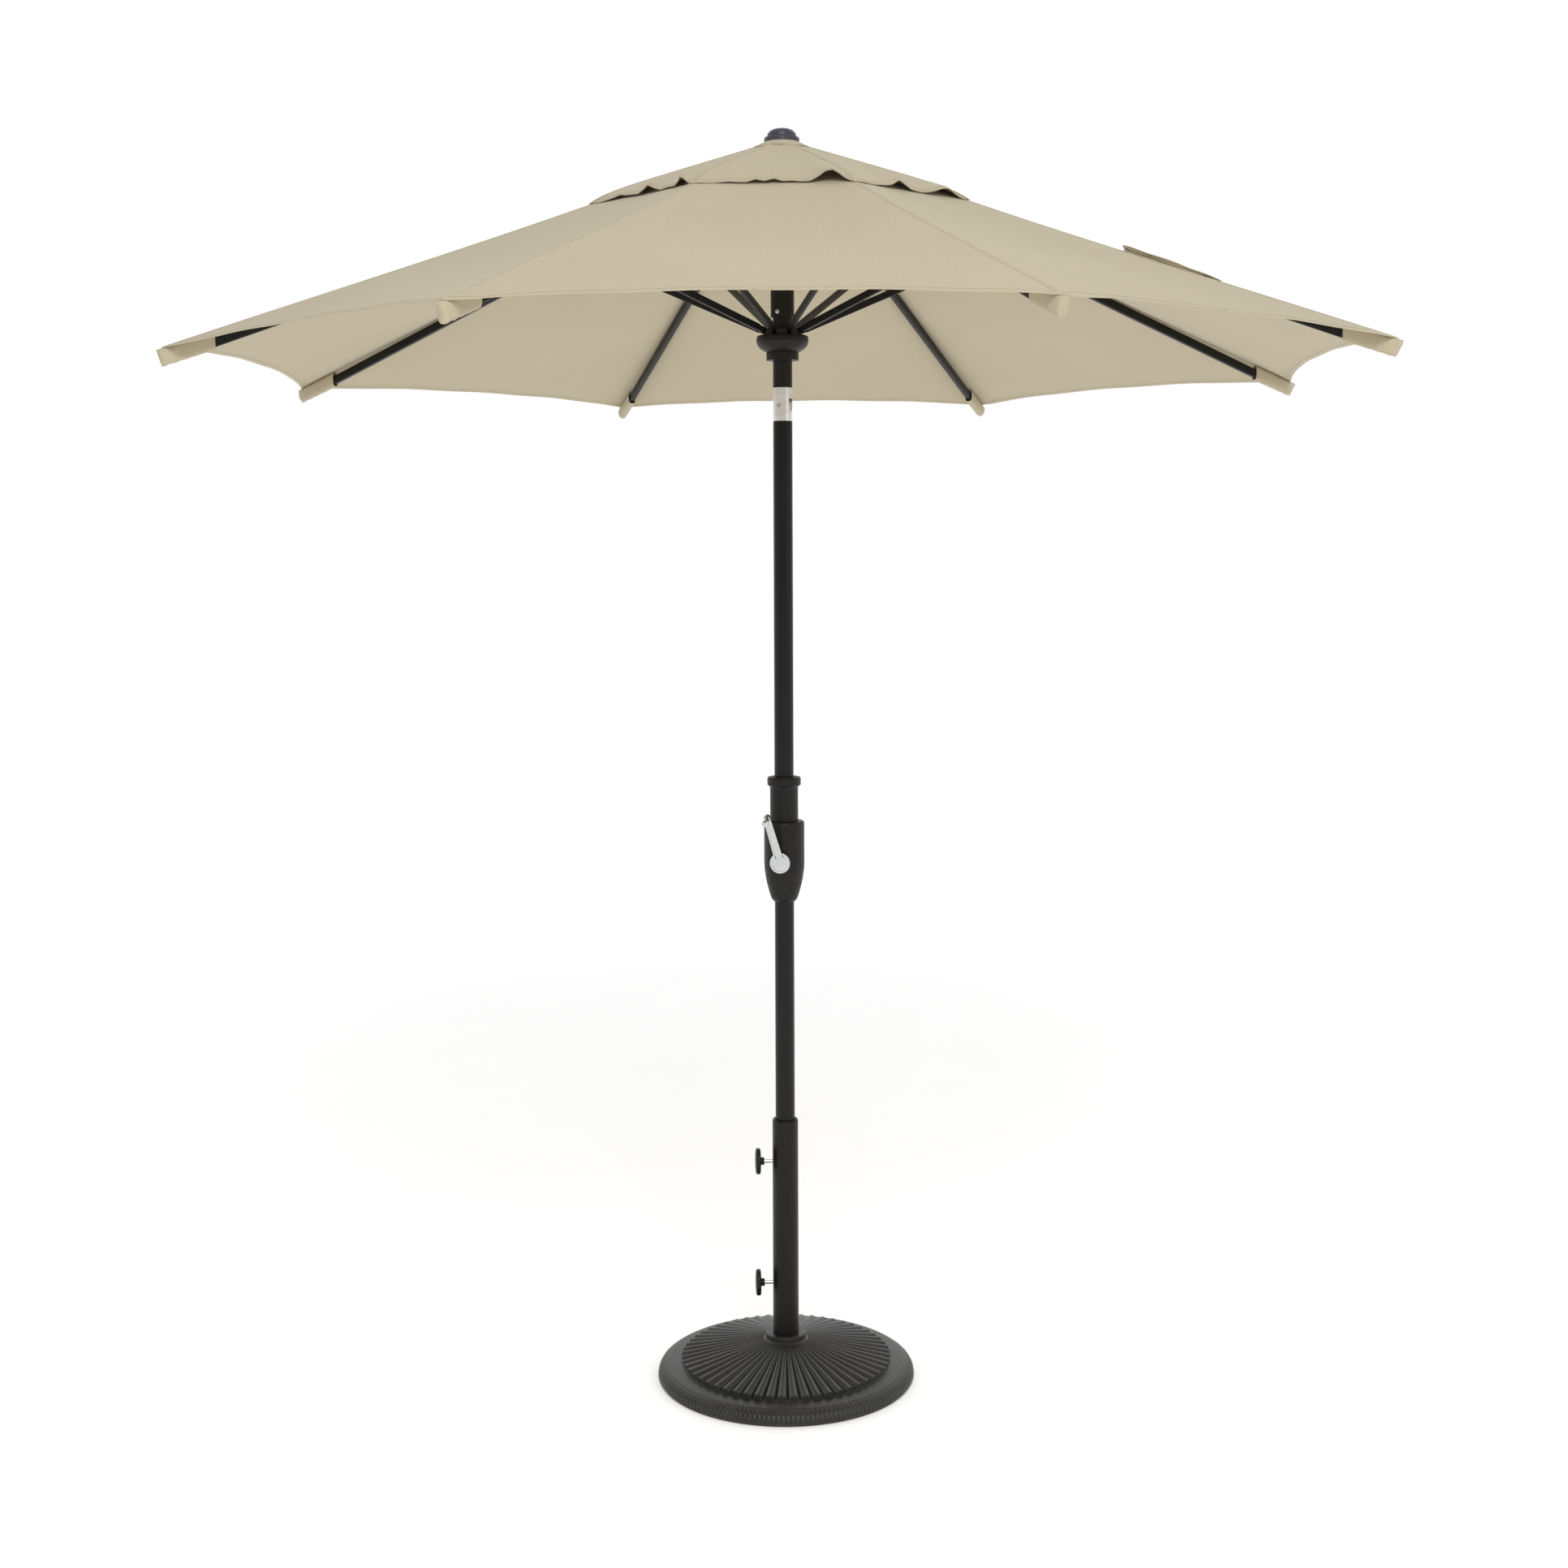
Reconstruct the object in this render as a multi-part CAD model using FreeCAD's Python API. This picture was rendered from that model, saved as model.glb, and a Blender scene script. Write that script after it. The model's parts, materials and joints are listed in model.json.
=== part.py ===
import FreeCAD, Part
import math
import os

# Market umbrella with crank lift, collar tilt and cast base.
# Millimetres. Z is up, the pole stands on the origin, the base rests on z = 0.

V = FreeCAD.Vector
Z_AXIS = V(0, 0, 1)

# ---- driving dimensions -------------------------------------------------
# ribs and canopy
RIB_COUNT = 8
RIB_FIRST_AZ = 22.5          # azimuth of the first rib, degrees
RIB_SLOPE = 0.392            # fall per unit of radius, canopy open
RIB_REACH = 1179.0           # radius at the rib tips
RIB_W, RIB_H, RIB_WALL = 12.0, 18.0, 1.0
RIB_PIVOT_R, RIB_PIVOT_Z = 30.0, 2422.0
CLOTH_TOP_Z = 2445.8         # ridge line of the cloth carried to the axis
CLOTH_T = 1.0
CLOTH_HOLE_R = 285.0         # vent opening in the main canopy
EDGE_SAG = 32.0              # how far the hem curves in between two ribs
VENT_R0, VENT_Z0 = 56.0, 2424.0
VENT_R1, VENT_Z1 = 395.0, 2306.0
VENT_SAG = 9.0
PLEAT_GAP = 0.2              # half the gap between neighbouring cloth pieces

# struts and runner
STRUT_RIB_R, STRUT_RIB_Z = 446.6, 2241.2
STRUT_PIN_R, STRUT_PIN_Z = 30.0, 2060.4
STRUT_W, STRUT_H, STRUT_WALL = 9.0, 14.0, 1.0

# pole
POLE_R, POLE_WALL = 19.05, 1.5
POLE_BOTTOM, POLE_TOP = 66.1, 1885.0
HEAD_BOTTOM, HEAD_TOP = 1951.0, 2404.0
SLIDE_CLEAR = 0.10
TILT_Z, TILT_AZ = 1915.6, 67.5
KNUCKLE_R = 18.75
PULLEY_Z = 2300.0

# crank housing
CRANK_Z, CRANK_AZ = 1017.0, -97.6
HOUSING_TOP = 1094.0
HOUSING_R = 40.0
ARM_LENGTH, ARM_LEAN, ARM_OUT = 96.0, 13.6, 14.0

# base
BASE_R = 252.5
FLUTES = 56
FLUTE_R0, FLUTE_Z0 = 44.0, 71.5      # crest of the flutes at their inner end
FLUTE_R1, FLUTE_Z1 = 206.0, 39.5     # and at their cut outer end
FLUTE_FULLNESS = 0.524               # flute radius over flute spacing
RIM_TEETH = 168
STEM_R, STEM_WALL = 25.4, 2.0
STEM_BOTTOM, STEM_TOP = 50.1, 501.0
KNOB_AZ = 186.0
KNOB_HEIGHTS = {"upper": 420.5, "lower": 181.0}

SECTOR = 360.0 / RIB_COUNT
HALF = math.radians(SECTOR / 2)
SLOPE_DEG = math.degrees(math.atan(RIB_SLOPE))


# ---- helpers ------------------------------------------------------------
def cyl(r, z0, z1):
    return Part.makeCylinder(r, z1 - z0, V(0, 0, z0))


def ring(outer, inner, z0, z1):
    return cyl(outer, z0, z1).cut(cyl(inner, z0 - 1, z1 + 1))


def rod(r, a, b):
    return Part.makeCylinder(r, (b - a).Length, a, b - a)


def cone(r0, r1, a, b):
    return Part.makeCone(r0, r1, (b - a).Length, a, b - a)


def turned(points):
    """Solid of revolution about Z from (radius, height) points."""
    pts = [V(r, 0, z) for r, z in points]
    face = Part.Face(Part.makePolygon(pts + pts[:1]))
    return face.revolve(V(0, 0, 0), Z_AXIS, 360)


def spun(shape, degrees):
    """A copy turned about the pole axis."""
    out = shape.copy()
    out.rotate(V(0, 0, 0), Z_AXIS, degrees)
    return out


def round_the_pole(shape, count, first=0.0):
    return [spun(shape, first + i * 360.0 / count) for i in range(count)]


def box(x0, x1, y0, y1, z0, z1):
    return Part.makeBox(x1 - x0, y1 - y0, z1 - z0, V(x0, y0, z0))


def bar(length, width, height, radius, wall=None):
    """Rounded rectangular bar along +X from the origin, hollow if a wall is given."""
    out = box(0, length, -width / 2, width / 2, -height / 2, height / 2)
    long_edges = [e for e in out.Edges if abs(e.tangentAt(0).x) > 0.9]
    out = out.makeFillet(radius, long_edges)
    if wall:
        w, h = width / 2 - wall, height / 2 - wall
        out = out.cut(box(-1, length + 1, -w, w, -h, h))
    return out


def sloped(shape, degrees, at):
    """Turn a shape built along +X down by an angle, then move it."""
    out = shape.copy()
    out.rotate(V(0, 0, 0), V(0, 1, 0), degrees)
    out.translate(at)
    return out


def save(name, shape):
    solids = shape if isinstance(shape, list) else shape.Solids
    out = solids[0] if len(solids) == 1 else Part.makeCompound(solids)
    out.exportStep("parts/%s.step" % name)


os.makedirs("parts", exist_ok=True)

# ---- base ---------------------------------------------------------------
FLUTE_K = FLUTE_FULLNESS * 2 * math.pi / FLUTES        # flute radius per unit of radius


def flute():
    """One rounded sunburst flute: a slim cone, cut off square at its outer end."""
    b0, b1 = FLUTE_K * FLUTE_R0, FLUTE_K * FLUTE_R1
    body = cone(b0, b1, V(FLUTE_R0, 0, FLUTE_Z0 - b0), V(FLUTE_R1, 0, FLUTE_Z1 - b1))
    half = math.pi / FLUTES
    wedge = Part.makePolygon([V(0, 0, 0), V(300, -300 * math.tan(half), 0),
                              V(300, 300 * math.tan(half), 0), V(0, 0, 0)])
    sector = Part.Face(wedge).extrude(V(0, 0, 120))
    skin = turned([(FLUTE_R0 - 4, 66.5), (FLUTE_R0 - 4, 90), (FLUTE_R1, 60), (FLUTE_R1, 27.5)])
    return body.common(sector).common(skin)


def toothed_outline(r, depth, z):
    """Closed outline with one small outward arc per tooth."""
    edges = []
    step = 2 * math.pi / RIM_TEETH
    for i in range(RIM_TEETH):
        a, b = i * step, (i + 1) * step
        m = (a + b) / 2
        edges.append(Part.Arc(V((r - depth) * math.cos(a), (r - depth) * math.sin(a), z),
                              V(r * math.cos(m), r * math.sin(m), z),
                              V((r - depth) * math.cos(b), (r - depth) * math.sin(b), z)).toShape())
    return Part.Wire(edges)


def toothed_rim():
    """The rounded edge of the casting, with teeth that run over it and die out on top."""
    sections = [(0.3, 1.5, 6.4), (1.2, 1.6, 14.0), (4.6, 1.6, 20.0), (10.5, 1.4, 23.8),
                (18.5, 0.8, 26.6)]
    return Part.makeLoft([toothed_outline(BASE_R - inset, depth, z)
                          for inset, depth, z in sections], True, True)


def base_plate():
    body = turned([(5.2, 38), (5.2, 50), (STEM_R + 0.1, 50), (STEM_R + 0.1, 83), (38, 83), (40, 81),
                   (40, 74), (46, 69.2), (FLUTE_R1, 30.8), (FLUTE_R1 + 1, 30), (BASE_R - 19, 26.9),
                   (BASE_R - 19, 24), (BASE_R - 8, 19), (BASE_R - 4, 8), (BASE_R, 6.6), (BASE_R, 4),
                   (BASE_R - 1, 3), (238, 3), (238, 14), (206, 22), (48, 60), (34, 60), (34, 3),
                   (20, 3), (14, 7), (14, 38)])
    rim = toothed_rim().cut(cyl(BASE_R - 26, 0, 40))
    flutes = round_the_pole(flute(), FLUTES)
    return body.fuse(rim).fuse(flutes[0].multiFuse(flutes[1:]))


save("base_plate", base_plate())
save("base_pad", ring(BASE_R - 3, 240, 0, 2.9))

stem = ring(STEM_R, STEM_R - STEM_WALL, STEM_BOTTOM, STEM_TOP)
stem = stem.fuse(ring(STEM_R - STEM_WALL, 5.0, STEM_BOTTOM, 58))
for height in KNOB_HEIGHTS.values():
    stem = stem.cut(spun(rod(3.6, V(10, 0, height), V(40, 0, height)), KNOB_AZ))
save("stem_tube", stem)

hexagon = Part.Face(Part.makePolygon(
    [V(9.8 * math.cos(math.radians(60 * i)), 9.8 * math.sin(math.radians(60 * i)), 29)
     for i in range(7)]))
save("stem_bolt", hexagon.extrude(V(0, 0, 7)).fuse(cyl(12, 36, 37.9)).fuse(cyl(4.95, 36, 58)))

liner_r = STEM_R - STEM_WALL - 0.05
bore_r = POLE_R + SLIDE_CLEAR
save("stem_liner", [
    turned([(bore_r, 436), (liner_r, 436), (liner_r, 501.1), (24.7, 501.1), (24.7, 503),
            (24, 503.8), (20.6, 503.8), (bore_r, 502)]),
    ring(liner_r, bore_r, 90, 125)])


def knob_stud(height):
    # the inner end stops just short of the pole
    body = rod(3.5, V(POLE_R + 0.1, 0, height), V(51.0, 0, height))
    return spun(body.fuse(rod(5.2, V(50.0, 0, height), V(53.0, 0, height))), KNOB_AZ)


def knob_grip(height):
    profile = [(3.55, 42), (7.2, 42), (7.2, 48), (10, 49.5), (23, 49.5), (25, 51.5), (25, 56.5),
               (23, 58.6), (14, 59.6), (0, 60), (0, 53.1), (5.3, 53.1), (5.3, 49.9), (3.55, 49.9)]
    body = turned(profile)
    lobes = [rod(5.5, V(29.2 * math.cos(a), 29.2 * math.sin(a), 40),
                 V(29.2 * math.cos(a), 29.2 * math.sin(a), 70))
             for a in [math.radians(45 * i + 22.5) for i in range(8)]]
    body = body.cut(Part.makeCompound(lobes))
    body.rotate(V(0, 0, 0), V(0, 1, 0), 90)
    body.translate(V(0, 0, height))
    return spun(body, KNOB_AZ)


for side, height in KNOB_HEIGHTS.items():
    save(side + "_knob_stud", knob_stud(height))
    save(side + "_knob_grip", knob_grip(height))

# ---- lower pole ---------------------------------------------------------
inner_r = POLE_R - POLE_WALL
save("pole_end_plug", cyl(POLE_R, 58.1, POLE_BOTTOM - 0.1).fuse(cyl(inner_r - 0.05, 64, 90)))


def crank_ray(r, a, b):
    """Rod along the crank axis between two distances from the pole axis."""
    return spun(rod(r, V(a, 0, CRANK_Z), V(b, 0, CRANK_Z)), CRANK_AZ)


lower = ring(POLE_R, inner_r, POLE_BOTTOM, POLE_TOP)
lower = lower.cut(crank_ray(4.1, -30, 30))
save("lower_pole", lower)

outer = [(21, 935), (25.85, 941), (29.3, 951), (31.95, 961), (34.4, 970), (36.5, 980), (38, 989.6),
         (39.4, 1000), (HOUSING_R, 1012), (HOUSING_R, 1090), (38.5, 1093.2), (37, HOUSING_TOP)]
bore = [(POLE_R + 0.05, HOUSING_TOP), (POLE_R + 0.05, 1089), (36.4, 1089), (36.6, 1012),
        (34.6, 990), (28, 962), (22, 944), (POLE_R + 0.05, 944), (POLE_R + 0.05, 935)]
housing = turned(outer + bore)
housing = housing.cut(crank_ray(6.1, 30, 45))
screws = []
for height, radius in ((1063.6, HOUSING_R), (964.0, 32.6)):
    az = -63.6
    housing = housing.cut(spun(rod(2.6, V(25, 0, height), V(45, 0, height)), az))
    screws.append(spun(rod(2.5, V(radius - 6.5, 0, height), V(radius - 1.2, 0, height)), az))
save("crank_housing", housing)
save("housing_screws", screws)

c = POLE_R + SLIDE_CLEAR
save("tilt_collar", turned([(c, 1094.2), (27.8, 1094.2), (27.8, 1160), (29.5, 1163), (33.2, 1165.5),
                            (33.2, 1178), (31.5, 1181), (25, 1181), (23.5, 1182.5), (c, 1182.5)]))


# ---- crank --------------------------------------------------------------
def crank_place(shape):
    """From the crank's own frame (x right, y up, z out along its axis) to the part."""
    out = shape.copy()
    out.transformShape(FreeCAD.Matrix(0, 0, 1, 0, 1, 0, 0, 0, 0, 1, 0, CRANK_Z))
    return spun(out, CRANK_AZ)


lean, tip = math.radians(ARM_LEAN), math.radians(ARM_OUT)
arm_dir = V(-math.sin(lean) * math.cos(tip), math.cos(lean) * math.cos(tip), math.sin(tip))
grip_dir = V(0, 0, 1) - arm_dir * arm_dir.z
grip_dir.normalize()
arm_start = V(0, 0, 45.5)
arm_end = arm_start + arm_dir * ARM_LENGTH


def arm_bar(width0, width1, z0, z1):
    """Tapered flat bar along the arm, between two distances out from its mid plane."""
    side = arm_dir.cross(grip_dir)
    pts = [arm_start + side * (-width0 / 2), arm_end + side * (-width1 / 2),
           arm_end + side * (width1 / 2), arm_start + side * (width0 / 2)]
    pts = [p + grip_dir * z0 for p in pts]
    face = Part.Face(Part.makePolygon(pts + pts[:1]))
    return face.extrude(grip_dir * (z1 - z0))


arm = arm_bar(17.5, 13.5, -3, 4).fuse(rod(6.75, arm_end - grip_dir * 3, arm_end + grip_dir * 4))
arm = arm.fuse(Part.makeCylinder(20, 8, V(0, 0, 42.5)))
arm = arm.cut(Part.makeCylinder(16.4, 3, V(0, 0, 48.8)))
arm = arm.cut(arm_bar(12.5, 9.0, 2.2, 6)).fuse(Part.makeCylinder(12.6, 2.2, V(0, 0, 47)))
arm = arm.fuse(rod(3.4, arm_end, arm_end + grip_dir * 24))
arm = arm.fuse(Part.makeCylinder(6.0, 8, V(0, 0, 36)))
save("crank_handle", crank_place(arm))

grip = turned([(3.45, 4.3), (5.4, 4.3), (6.6, 6.5), (6.2, 9), (4.9, 12), (4.9, 20), (6.3, 26),
               (7.0, 31), (6.4, 34), (3, 35.2), (0, 35.4), (0, 24.3), (3.45, 24.3)])
turn = FreeCAD.Rotation(Z_AXIS, grip_dir)
grip.transformShape(FreeCAD.Placement(arm_end, turn).toMatrix())
save("crank_knob", crank_place(grip))

spool = crank_ray(4.0, -21.5, 36.0).fuse(crank_ray(14.0, -9, -7.5)).fuse(crank_ray(14.0, 7.5, 9))
save("crank_spool", spool.fuse(crank_ray(10.0, -9, 9)))

# ---- tilt joint ---------------------------------------------------------
# built with the pin along Y and the tilt towards +X, then turned to its azimuth
TILT_TURN = TILT_AZ - 90.0


def pin_disc(r, half_width):
    return rod(r, V(0, -half_width, TILT_Z), V(0, half_width, TILT_Z))


def above(z, shape):
    return shape.common(box(-60, 60, -60, 60, z, z + 200))


cord_bore = Part.makeCylinder(3, 140, V(-9, 0, 1850))
seat = cyl(KNUCKLE_R, POLE_TOP, TILT_Z - 6).cut(pin_disc(18.8, 30))
seat = seat.cut(box(0, 30, -30, 30, TILT_Z - 10.5, TILT_Z))
tongue = pin_disc(14.0, 7.3).fuse(box(-14, 14, -7.3, 7.3, POLE_TOP + 3, TILT_Z))
low_knuckle = seat.fuse(tongue).fuse(cyl(inner_r - 0.05, POLE_TOP - 30, POLE_TOP + 2))
low_knuckle = low_knuckle.cut(pin_disc(4.05, 30)).cut(cord_bore)
save("tilt_knuckle_lower", spun(low_knuckle, TILT_TURN))
save("tilt_pin", spun(pin_disc(4.0, KNUCKLE_R - 0.6), TILT_TURN))

head = cyl(KNUCKLE_R, TILT_Z, HEAD_BOTTOM).fuse(pin_disc(18.5, 30).common(cyl(KNUCKLE_R, 1880, 1960)))
head = head.cut(box(-30, 30, -7.5, 7.5, 1880, TILT_Z + 14.4)).cut(pin_disc(4.05, 30))
head = head.fuse(cyl(inner_r - 0.05, HEAD_BOTTOM - 2, HEAD_BOTTOM + 30)).cut(cord_bore)
head = head.cut(rod(2.2, V(KNUCKLE_R - 2.5, 0, TILT_Z + 19), V(30, 0, TILT_Z + 19)))
save("tilt_knuckle_upper", spun(head, TILT_TURN))

# ---- upper pole, sleeve, pulley -----------------------------------------
upper = ring(POLE_R, inner_r, HEAD_BOTTOM, HEAD_TOP)
rivets = [spun(rod(2.6, V(POLE_R - 4, 0, 2100), V(24.2, 0, 2100)), a) for a in (-112.5, 67.5)]
axle = spun(rod(2.5, V(0, -24, PULLEY_Z), V(0, 24, PULLEY_Z)), TILT_TURN)
sleeve = ring(23.3, POLE_R + 0.02, 2091, 2330)
for pin in rivets + [axle]:
    upper, sleeve = upper.cut(pin), sleeve.cut(pin)
save("upper_pole", upper)
save("pulley_sleeve", [sleeve, axle] + rivets)
wheel = Part.makeCylinder(13, 8, V(0, -4, PULLEY_Z), V(0, 1, 0)).cut(
    Part.makeTorus(14.2, 2.6, V(0, 0, PULLEY_Z), V(0, 1, 0)))
wheel = wheel.cut(rod(2.55, V(0, -10, PULLEY_Z), V(0, 10, PULLEY_Z)))
save("pulley", spun(wheel, TILT_TURN))

# ---- top hub, crown, finial ---------------------------------------------
hub = turned([(0, 2406), (POLE_R + 0.02, 2406), (POLE_R + 0.02, 2392), (21.2, 2392), (21.2, 2409),
              (40, 2409), (42, 2411), (42, 2427.5), (40, 2429.5), (34, 2429.5), (33, 2435.5),
              (0, 2435.5)])
slot = box(20.5, 60, -4.3, 4.3, 2390, 2432)
pin_hole = rod(2.05, V(RIB_PIVOT_R, -10.2, RIB_PIVOT_Z), V(RIB_PIVOT_R, 10.2, RIB_PIVOT_Z))
hub = hub.cut(Part.makeCompound(round_the_pole(slot, RIB_COUNT, RIB_FIRST_AZ)))
hub = hub.cut(Part.makeCompound(round_the_pole(pin_hole, RIB_COUNT, RIB_FIRST_AZ)))
save("top_hub", hub.cut(cyl(5.1, 2420, 2440)))

save("crown_cap", turned([(6, 2435.6), (34.5, 2435.6), (53.3, 2424.4), (53.9, 2425.3),
                          (35, 2436.6), (6, 2436.6)]))
save("finial", turned([(0, 2421), (5, 2421), (5, 2436.7), (34.6, 2436.7), (35, 2437.4), (35, 2444),
                       (34, 2446), (30, 2447), (29, 2448), (28, 2454), (24, 2459), (17, 2462.6),
                       (9, 2464.5), (0, 2465)]))

# ---- runner -------------------------------------------------------------
body = turned([(bore_r, 2005), (32, 2005), (32, 2019), (31.5, 2021), (36, 2023), (44, 2028),
               (49, 2034), (51.5, 2041), (51.5, 2049), (50, 2053), (48, 2054), (45, 2050),
               (42, 2044), (38, 2042), (38, 2064), (36, 2067), (25, 2067), (24, 2075),
               (bore_r, 2075)])
slot = box(23.8, 60, -4.0, 4.0, 2053.2, 2100)
pin_hole = rod(1.55, V(STRUT_PIN_R, -8.2, STRUT_PIN_Z), V(STRUT_PIN_R, 8.2, STRUT_PIN_Z))
body = body.cut(Part.makeCompound(round_the_pole(slot, RIB_COUNT, RIB_FIRST_AZ)))
body = body.cut(Part.makeCompound(round_the_pole(pin_hole, RIB_COUNT, RIB_FIRST_AZ)))
save("runner", body)


# ---- ribs and struts, built at azimuth 0 --------------------------------
def tangent_pin(r, half, x, z):
    return rod(r, V(x, -half, z), V(x, half, z))


def rib():
    """Tube, pivot lug with its pin, strut bracket and end cap."""
    pivot = V(RIB_PIVOT_R, 0, RIB_PIVOT_Z)
    cos_a = math.cos(math.radians(SLOPE_DEG))
    length = (RIB_REACH - 5 - RIB_PIVOT_R) / cos_a
    tube = bar(length - 34, RIB_W, RIB_H, 3, RIB_WALL)
    tube.translate(V(26, 0, 0))
    lug = rod(7, V(0, -4, 0), V(0, 4, 0)).fuse(box(0, 27, -4, 4, -7, 7))
    lug = lug.fuse(bar(20, RIB_W - 2.1, RIB_H - 2.1, 1.0).translated(V(26.1, 0, 0)))
    lug = lug.fuse(rod(2, V(0, -10, 0), V(0, 10, 0)))
    cap = bar(24, RIB_W - 2.1, RIB_H - 2.1, 1.0).translated(V(length - 26, 0, 0))
    cap = cap.fuse(bar(7.9, RIB_W, RIB_H, 3).translated(V(length - 7.9, 0, 0)))
    # strut bracket: two cheeks on the rib's sides, riveted through it
    joint = V(STRUT_RIB_R - pivot.x, 0, STRUT_RIB_Z - pivot.z)
    a = math.radians(SLOPE_DEG)
    along = joint.x * math.cos(a) - joint.z * math.sin(a)
    drop = joint.x * math.sin(a) + joint.z * math.cos(a)
    cheeks = []
    for side in (-1, 1):
        y0, y1 = sorted((side * (RIB_W / 2 + 0.05), side * (RIB_W / 2 + 1.8)))
        cheek = box(along - 13, along + 13, y0, y1, -6, 7).fuse(
            box(along - 7, along + 7, y0, y1, drop, 0)).fuse(
            rod(7, V(along, y0, drop), V(along, y1, drop)))
        cheeks.append(cheek)
    pin = tangent_pin(2.4, RIB_W / 2 + 3, along, drop)
    rivet = tangent_pin(1.8, RIB_W / 2 + 2.8, along, 0)
    bracket = cheeks[0].fuse(cheeks[1]).fuse(pin).fuse(rivet)
    tube = tube.cut(tangent_pin(1.85, 20, along, 0))
    return [sloped(s, SLOPE_DEG, pivot) for s in (tube, lug, cap, bracket)]


def strut():
    """Tube with a rounded end at the rib and a narrow lug with its pin at the runner."""
    a = V(STRUT_PIN_R, 0, STRUT_PIN_Z)
    b = V(STRUT_RIB_R, 0, STRUT_RIB_Z)
    length = (b - a).Length
    up = math.degrees(math.atan2(b.z - a.z, b.x - a.x))
    tube = bar(length - 38, STRUT_W, STRUT_H, 2.2, STRUT_WALL).translated(V(22, 0, 0))
    plug_w, plug_h = STRUT_W - 2.1, STRUT_H - 2.1
    lug = rod(5.5, V(0, -3.4, 0), V(0, 3.4, 0)).fuse(box(0, 40, -3.4, 3.4, -5.5, 5.5))
    lug = lug.fuse(rod(1.5, V(0, -8, 0), V(0, 8, 0)))
    end = rod(6.6, V(length, -STRUT_W / 2, 0), V(length, STRUT_W / 2, 0))
    end = end.fuse(box(length - 15.9, length, -STRUT_W / 2, STRUT_W / 2, -6.6, 6.6))
    end = end.fuse(box(length - 34, length - 10, -plug_w / 2, plug_w / 2, -plug_h / 2, plug_h / 2))
    end = end.cut(rod(2.45, V(length, -10, 0), V(length, 10, 0)))
    return [sloped(s, -up, a) for s in (tube, lug, end)]


def cloth_piece(r0, z0, r1, slope, sag):
    """Half of a flat gore: from the rib ridge at azimuth 0 to the middle of the gap on +Y."""
    mid_slope = slope / math.cos(HALF)

    def ridge(r):
        return V(r, 0, z0 - slope * (r - r0))

    def middle(rho):
        z = z0 + slope * r0 - mid_slope * rho
        return V(rho * math.cos(HALF), rho * math.sin(HALF), z)

    a, b = ridge(r0), ridge(r1)
    cc, d = middle(r1 * math.cos(HALF) - sag), middle(r0 * math.cos(HALF))
    normal = (b - a).cross(d - a)
    normal.normalize()
    off_ridge = normal.cross(b - a)
    off_ridge.normalize()
    off_mid = (cc - d).cross(normal)
    off_mid.normalize()
    a, b = a + off_ridge * PLEAT_GAP, b + off_ridge * PLEAT_GAP
    cc, d = cc + off_mid * PLEAT_GAP, d + off_mid * PLEAT_GAP
    outward = (cc - d)
    outward.normalize()
    bow = (b + cc) * 0.5 - outward * (0.25 * sag)
    wire = Part.Wire([Part.makeLine(a, b), Part.Arc(b, bow, cc).toShape(),
                      Part.makeLine(cc, d), Part.makeLine(d, a)])
    return Part.Face(wire).extrude(normal * -CLOTH_T)


def gore_half(side):
    hole_z = CLOTH_TOP_Z - RIB_SLOPE * CLOTH_HOLE_R
    vent_slope = (VENT_Z0 - VENT_Z1) / (VENT_R1 - VENT_R0)
    pieces = [cloth_piece(CLOTH_HOLE_R, hole_z, RIB_REACH, RIB_SLOPE, EDGE_SAG),
              cloth_piece(VENT_R0, VENT_Z0, VENT_R1, vent_slope, VENT_SAG)]
    if side < 0:
        pieces = [p.mirror(V(0, 0, 0), V(0, 1, 0)) for p in pieces]
    return pieces


for i in range(RIB_COUNT):
    az = RIB_FIRST_AZ + SECTOR * i
    save("rib_%d" % (i + 1), [spun(s, az) for s in rib()])
    save("strut_%d" % (i + 1), [spun(s, az) for s in strut()])
    save("gore_%da" % (i + 1), [spun(s, az) for s in gore_half(1)])
    save("gore_%db" % (i + 1), [spun(s, az) for s in gore_half(-1)])
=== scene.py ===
"""Visual model of a patio umbrella with its base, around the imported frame."""
import json
import math

import bpy
import numpy as np
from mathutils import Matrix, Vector


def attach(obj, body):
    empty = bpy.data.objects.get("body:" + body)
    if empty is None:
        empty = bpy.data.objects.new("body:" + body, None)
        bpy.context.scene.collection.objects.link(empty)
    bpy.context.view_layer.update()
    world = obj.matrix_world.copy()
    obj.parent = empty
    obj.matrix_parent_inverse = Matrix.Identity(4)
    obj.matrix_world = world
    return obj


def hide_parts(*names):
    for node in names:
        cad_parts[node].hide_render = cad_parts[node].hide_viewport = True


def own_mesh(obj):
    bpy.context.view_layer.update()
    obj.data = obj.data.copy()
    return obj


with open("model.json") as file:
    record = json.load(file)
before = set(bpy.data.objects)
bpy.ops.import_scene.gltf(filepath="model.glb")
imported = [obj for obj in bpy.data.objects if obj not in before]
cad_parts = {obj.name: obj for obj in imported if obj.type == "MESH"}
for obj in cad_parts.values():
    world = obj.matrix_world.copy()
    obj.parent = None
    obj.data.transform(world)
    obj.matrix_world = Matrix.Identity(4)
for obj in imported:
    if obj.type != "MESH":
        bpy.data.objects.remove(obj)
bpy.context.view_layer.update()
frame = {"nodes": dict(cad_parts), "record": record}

# ---- dimensions, in metres ----------------------------------------------
RIBS = 8
SECTOR = 2 * math.pi / RIBS          # angle from one rib to the next
HALF = SECTOR / 2
FIRST = HALF                         # azimuth of rib 1
FRONT = math.radians(-87.6)          # azimuth of the side that faces the viewer
SLOPE = 0.392                        # fall of the ribs and of the main cloth's ridges
RIDGE_Z = 2.4458                     # the main cloth's ridge lines meet the pole's axis here
RIB_AXIS_Z = 2.43376                 # the ribs' centre lines meet it here
REACH = 1.179                        # from the axis to a corner of the canopy
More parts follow.
